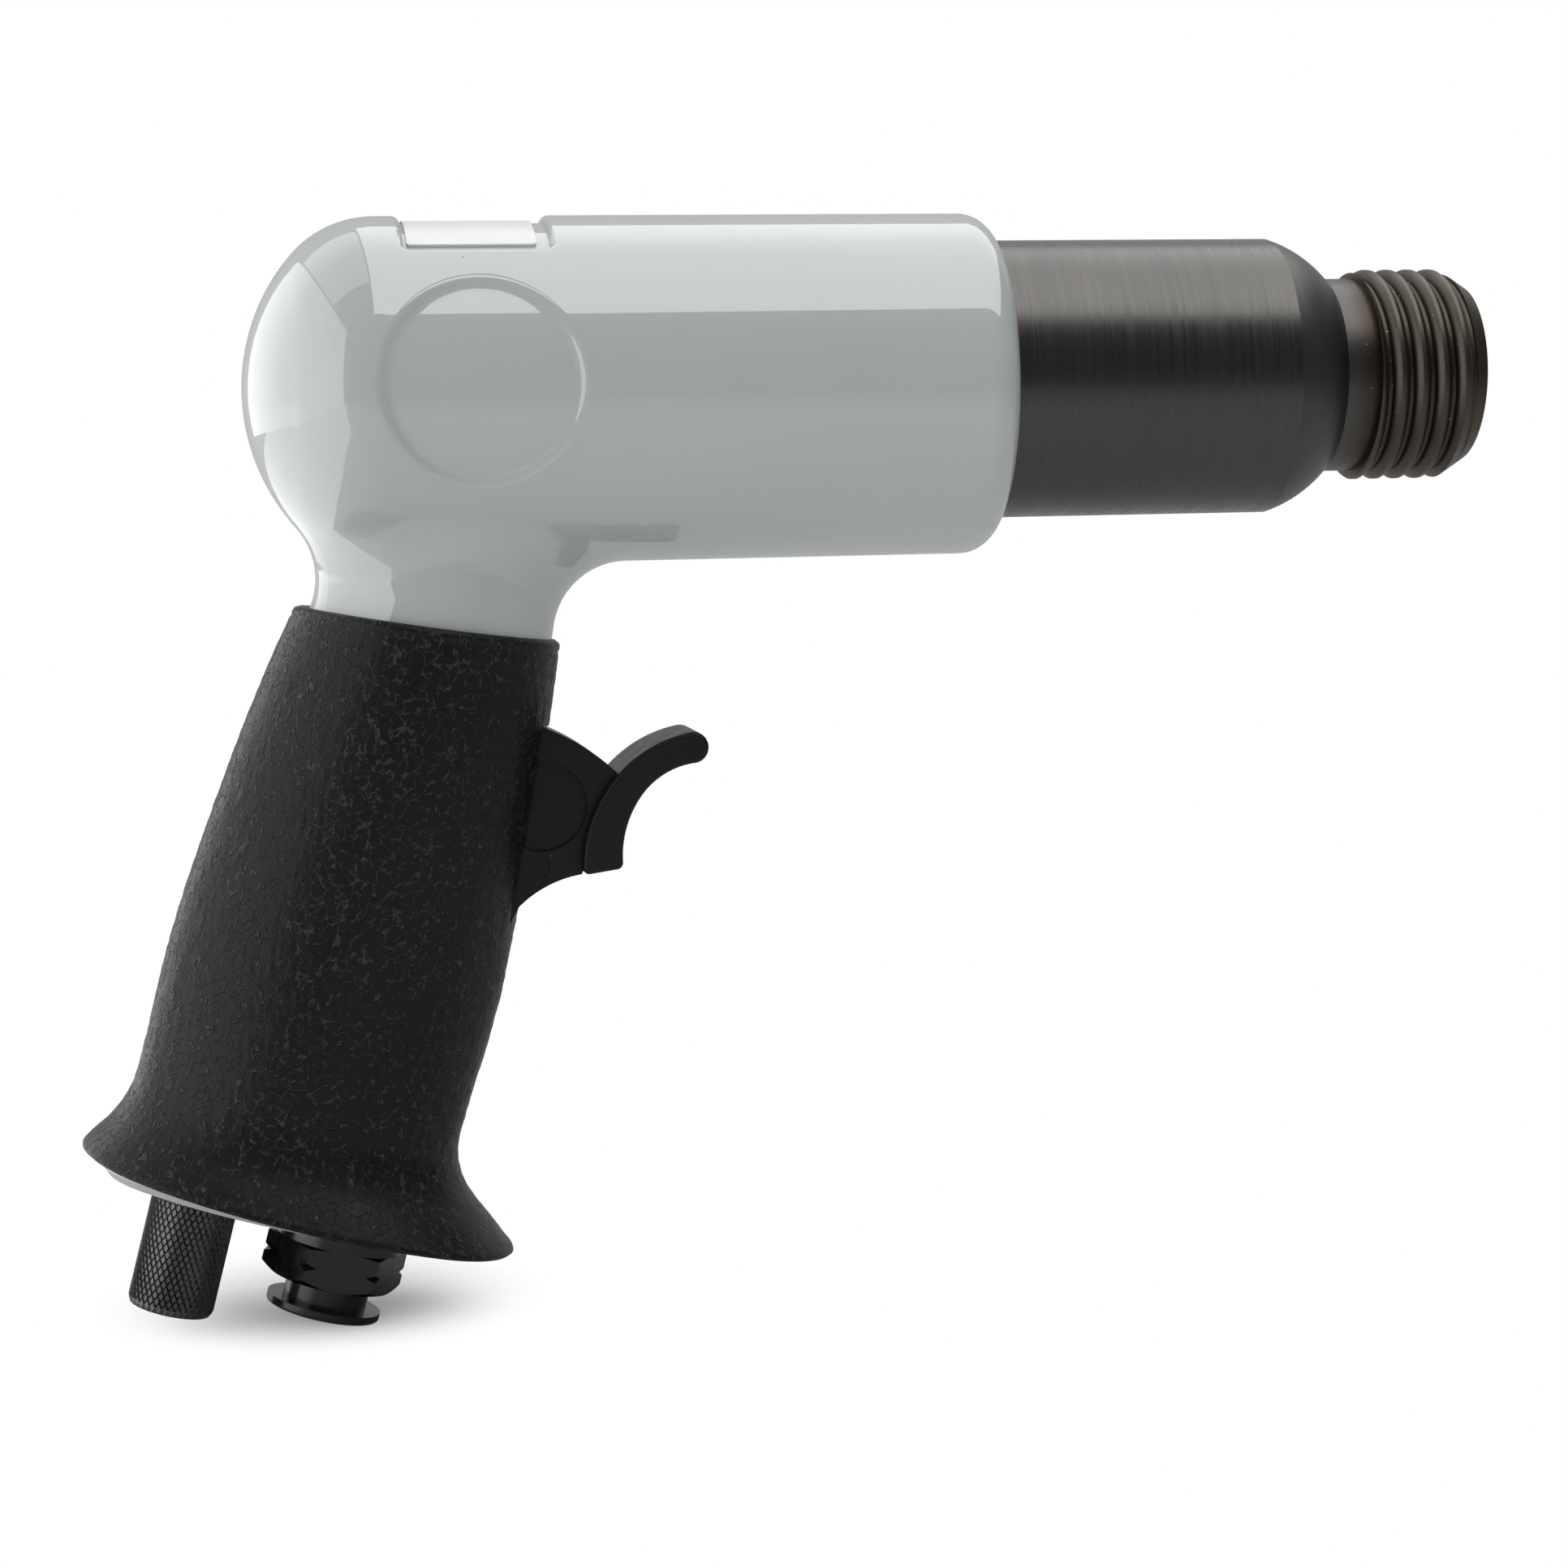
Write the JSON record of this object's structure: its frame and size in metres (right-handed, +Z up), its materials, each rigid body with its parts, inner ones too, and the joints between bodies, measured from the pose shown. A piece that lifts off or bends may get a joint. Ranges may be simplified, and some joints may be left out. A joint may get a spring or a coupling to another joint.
{
  "type": "pneumatic chisel hammer",
  "caption": "Pistol-grip air hammer: domed grey head, blued barrel with a round-threaded nose for a chisel, rubber-sleeved handle, hooked trigger, knurled regulator and capped hex inlet.",
  "frame": {"origin": "mouth of the chisel bore, on its axis at the nose face", "axes": "+X out of the nose along the barrel axis, +Z up, handle below the rear of the head"},
  "size_m": [0.192, 0.0458, 0.1474],
  "materials": {
    "housing_paint": "gloss",
    "grip_rubber": "matte",
    "label_blank": "satin",
    "blued_steel": "satin",
    "hard_steel": "polished",
    "seal_rubber": "satin",
    "trigger_plastic": "satin",
    "brass": "satin",
    "black_steel": "gloss",
    "plug_plastic": "gloss"
  },
  "bodies": {
    "body": {"housing": "housing_paint", "grip_sleeve": "grip_rubber", "label_plate": "label_blank", "barrel": "blued_steel", "barrel_seal": "seal_rubber", "valve_body": "hard_steel", "valve_cover": "hard_steel", "valve_dowel": "hard_steel", "rear_gasket": "seal_rubber", "trigger_pin": "hard_steel", "throttle_bush": "brass", "rod_seal": "seal_rubber", "throttle_spring": "hard_steel", "inlet_bushing": "black_steel", "inlet_washer": "seal_rubber", "inlet_strainer": "brass", "regulator_pin": "hard_steel"},
    "trigger": {"trigger": "trigger_plastic"},
    "throttle_rod": {"throttle_rod": "hard_steel"},
    "throttle_ball": {"throttle_ball": "hard_steel"},
    "piston": {"piston": "hard_steel"},
    "valve_disc": {"valve_disc": "hard_steel"},
    "regulator": {"regulator_knob": "black_steel", "regulator_spool": "hard_steel", "regulator_seal": "seal_rubber"},
    "dust_plug": {"dust_plug": "plug_plastic"}
  },
  "joints": [
    {"name": "trigger_pull", "type": "hinge", "parent": "body", "child": "trigger", "pos_m": [-0.13898, 0, -0.07089], "axis": [0, -1, 0], "range_deg": [0, 12], "stiffness_Nm_per_rad": 0.6, "springref_deg": -11.46},
    {"name": "throttle_rod_push", "type": "slide", "parent": "body", "child": "throttle_rod", "axis": [-0.9659, 0, 0.2588], "range_m": [0, 0.0043]},
    {"name": "throttle_ball_lift", "type": "slide", "parent": "body", "child": "throttle_ball", "axis": [-0.9659, 0, 0.2588], "range_m": [0, 0.0043], "deforming": ["throttle_spring"]},
    {"name": "piston_stroke", "type": "slide", "parent": "body", "child": "piston", "axis": [1, 0, 0], "range_m": [0, 0.042]},
    {"name": "valve_disc_flip", "type": "slide", "parent": "body", "child": "valve_disc", "axis": [1, 0, 0], "range_m": [0, 0.0009]},
    {"name": "regulator_turn", "type": "hinge", "parent": "body", "child": "regulator", "pos_m": [-0.17854, 0, -0.11402], "axis": [-0.2588, 0, -0.9659], "range_deg": [0, 180]},
    {"name": "dust_plug_pull", "type": "slide", "parent": "body", "child": "dust_plug", "axis": [-0.2588, 0, -0.9659], "range_m": [0, 0.03]}
  ],
  "couplings": [
    {"joint": "throttle_rod_push", "follows": "trigger_pull", "m_per_rad": 0.02},
    {"joint": "throttle_ball_lift", "follows": "trigger_pull", "m_per_rad": 0.02}
  ]
}
